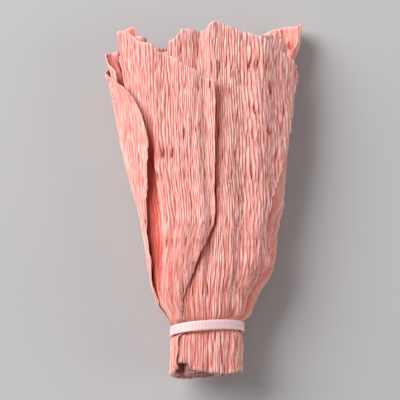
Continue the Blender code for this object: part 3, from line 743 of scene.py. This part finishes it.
def add_petal(petal, finish):
    """A flat grid laid into its place in the bundle, crinkled and then given its thickness."""
    piece, share, up = add_grid(petal.name + "_paper", petal.columns, petal.rows)
    mesh = piece.data
    place, height, u, y, edge_highlight, shade = petal.places(share, up)
    place = place + np.array(MIDDLE)
    mesh.vertices.foreach_set("co", place.ravel())
    for name, values in (("crinkle", height), ("edge_highlight", edge_highlight), ("shade", shade)):
        mesh.attributes.new(name, "FLOAT", "POINT").data.foreach_set("value", values)
    corners = np.empty(len(mesh.loops), dtype=np.int64)
    mesh.loops.foreach_get("vertex_index", corners)
    while mesh.uv_layers:
        mesh.uv_layers.remove(mesh.uv_layers[0])
    spread = np.stack((u[corners] / MM, y[corners] / MM), axis=-1)
    mesh.uv_layers.new(name="flat").data.foreach_set("uv", spread.ravel())
    mesh.update()
    thicken = piece.modifiers.new("Paper", "SOLIDIFY")
    thicken.thickness = PAPER_SEEN
    thicken.offset = 0.0
    apply_modifiers(piece)
    mesh.shade_smooth()
    mesh.materials.clear()
    mesh.materials.append(finish)
    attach(piece, "root")
    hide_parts(petal.name)


def strap_line():
    """Middle line of the strap: out of the head, once round the bundle, up through the slot."""
    outward = STRAP_OUT - STRAP_THICKNESS / 2
    at_head = frame_at(np.array([HEAD_TURN]), np.array([0.0]), -outward)
    seat, along, whole_turn = (value[0] for value in at_head)
    out = np.array((along[2], 0, -along[0]))
    leave = HEAD_TURN + 1.05 * HEAD_LENGTH / whole_turn
    arrive = HEAD_TURN + 1 - 0.62 * HEAD_LENGTH / whole_turn
    loop = section(np.linspace(leave, arrive, STRAP_POINTS), np.zeros(STRAP_POINTS), -outward)
    start = [seat + along * HEAD_LENGTH * 0.25 + out * (HEAD_LIFT + 0.2 * MM),
             seat + along * HEAD_LENGTH * 0.55 + out * (HEAD_LIFT - 0.1 * MM)]
    tail = [seat + out * 0.55 * MM - along * 1.3 * MM,
            seat + out * 1.3 * MM - along * 0.45 * MM,
            seat + out * (HEAD_LIFT + 0.9 * MM),
            seat + out * (HEAD_LIFT + HEAD_HEIGHT + TAIL_STANDS_OUT)]
    return np.array([*start, *loop, *tail]), seat, along, out


def add_strap(line, finish):
    """A flat grid bent along the strap's line, with the rungs pressed in between its rails."""
    lengths = np.concatenate(([0.0], np.cumsum(np.linalg.norm(np.diff(line, axis=0), axis=1))))
    total = lengths[-1]
    columns = round(total / (TOOTH_PITCH / STEPS_PER_TOOTH))
    piece, share, up = add_grid("cable_tie_strap", columns, STRAP_ROWS)
    mesh = piece.data
    at, side = share * total, (up - 0.5) * STRAP_WIDTH

    def along_line(places):
        return np.stack([np.interp(places, lengths, line[:, k]) for k in range(3)], axis=-1)

    run = along_line(at + 0.4 * MM) - along_line(at - 0.4 * MM)
    run = run / np.linalg.norm(run, axis=1)[:, None]
    out = np.stack((run[:, 2], 0 * at, -run[:, 0]), axis=-1)
    inside_rails = 1 - ease((np.abs(side) - (STRAP_WIDTH / 2 - RAIL_WIDTH - 0.15 * MM)) / (0.15 * MM))
    phase = np.abs((at / TOOTH_PITCH) % 1.0 - 0.5) * 2
    pressed = ease((phase - 0.35) / 0.25) * inside_rails
    toothed = (at > FIRST_TOOTH) & (at < total - LAST_TOOTH)
    rounded = STRAP_ROUNDING * (np.abs(side) / (STRAP_WIDTH / 2)) ** 8
    height = STRAP_THICKNESS / 2 - TOOTH_DEPTH * pressed * toothed - rounded
    place = along_line(at) + out * height[:, None]
    place[:, 1] += side
    mesh.vertices.foreach_set("co", (place + np.array(MIDDLE)).ravel())
    mesh.update()
    thicken = piece.modifiers.new("Strap", "SOLIDIFY")
    thicken.thickness = STRAP_THICKNESS - 0.1 * MM
    thicken.offset = -1.0
    apply_modifiers(piece)
    mesh.shade_smooth()
    mesh.set_sharp_from_angle(angle=math.radians(50))
    mesh.materials.append(finish)
    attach(piece, "root")
    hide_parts("cable_tie")


def add_head(seat, along, out, finish):
    """The tie's head: a rounded block with its slot."""
    across = np.cross(out, along)
    turned = Matrix((Vector(along), Vector(across), Vector(out))).transposed().to_4x4()
    centre = Vector(seat + out * (HEAD_LIFT + HEAD_HEIGHT / 2)) + MIDDLE
    deselect()
    bpy.ops.mesh.primitive_cube_add(size=1.0)
    piece = bpy.context.active_object
    piece.name = piece.data.name = "cable_tie_head"
    piece.data.transform(Matrix.Translation(centre) @ turned
                         @ Matrix.Diagonal((HEAD_LENGTH, HEAD_WIDTH, HEAD_HEIGHT, 1.0)))
    rounding = piece.modifiers.new("Rounding", "BEVEL")
    rounding.width = HEAD_ROUNDING
    rounding.segments = 4
    deselect()
    bpy.ops.mesh.primitive_cube_add(size=1.0)
    cutter = bpy.context.active_object
    slot_size = (STRAP_THICKNESS + 2 * SLOT_GAP, STRAP_WIDTH + 2 * SLOT_GAP, 3 * HEAD_HEIGHT, 1.0)
    cutter.data.transform(Matrix.Translation(centre) @ turned @ Matrix.Diagonal(slot_size))
    cut = piece.modifiers.new("Slot", "BOOLEAN")
    cut.operation = "DIFFERENCE"
    cut.object = cutter
    apply_modifiers(piece)
    bpy.data.objects.remove(cutter, do_unlink=True)
    piece.data.shade_smooth()
    piece.data.set_sharp_from_angle(angle=math.radians(35))
    piece.data.materials.append(finish)
    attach(piece, "root")


TABLE_SIZE = 3.0


def add_table():
    deselect()
    bpy.ops.mesh.primitive_plane_add(size=TABLE_SIZE, location=(0.0, 0.0, 0.0))
    table = bpy.context.active_object
    table.name = table.data.name = "table"
    table.data.materials.append(table_grey())


def add_light(name, place, size, power):
    """A soft square lamp that points at the frame's origin."""
    lamp = bpy.data.lights.new(name, "AREA")
    lamp.shape = "RECTANGLE"
    lamp.size = lamp.size_y = size
    lamp.energy = power
    made = bpy.data.objects.new(name, lamp)
    made.location = place
    made.rotation_euler = (-Vector(place)).to_track_quat("-Z", "Y").to_euler()
    bpy.context.scene.collection.objects.link(made)


CAMERA_ELEVATION = math.radians(73)
CAMERA_LENS = 100.0
SENSOR = 36.0
FIELD = 168 * MM
LOOK_AT = MIDDLE + Vector((-2.9 * MM, 55.6 * MM, 0.0))


def add_camera():
    made = bpy.data.cameras.new("camera")
    made.lens = CAMERA_LENS
    made.sensor_width = SENSOR
    made.clip_start = 0.01
    camera = bpy.data.objects.new("camera", made)
    distance = FIELD * CAMERA_LENS / SENSOR
    toward = Vector((0.0, -math.cos(CAMERA_ELEVATION), math.sin(CAMERA_ELEVATION)))
    camera.location = LOOK_AT + toward * distance
    camera.rotation_euler = (math.pi / 2 - CAMERA_ELEVATION, 0.0, 0.0)
    bpy.context.scene.collection.objects.link(camera)
    bpy.context.scene.camera = camera


def add_world(strength):
    world = bpy.data.worlds.new("studio")
    bpy.context.scene.world = world
    world.use_nodes = True
    background = world.node_tree.nodes["Background"]
    background.inputs["Color"].default_value = (0.98, 0.97, 1.0, 1.0)
    background.inputs["Strength"].default_value = strength


add_camera()
paper = crepe_paper()
nylon = tie_nylon()
for petal in PETALS:
    add_petal(petal, paper)
strap_path, head_seat, head_along, head_out = strap_line()
add_strap(strap_path, nylon)
add_head(head_seat, head_along, head_out, nylon)
add_table()
add_world(strength=0.24)
add_light("key", place=(-1.11, 0.66, 0.97), size=1.3, power=35.5)
add_light("fill", place=(1.5, -0.3, 0.55), size=0.9, power=8.5)
bpy.context.scene.view_settings.view_transform = "Standard"
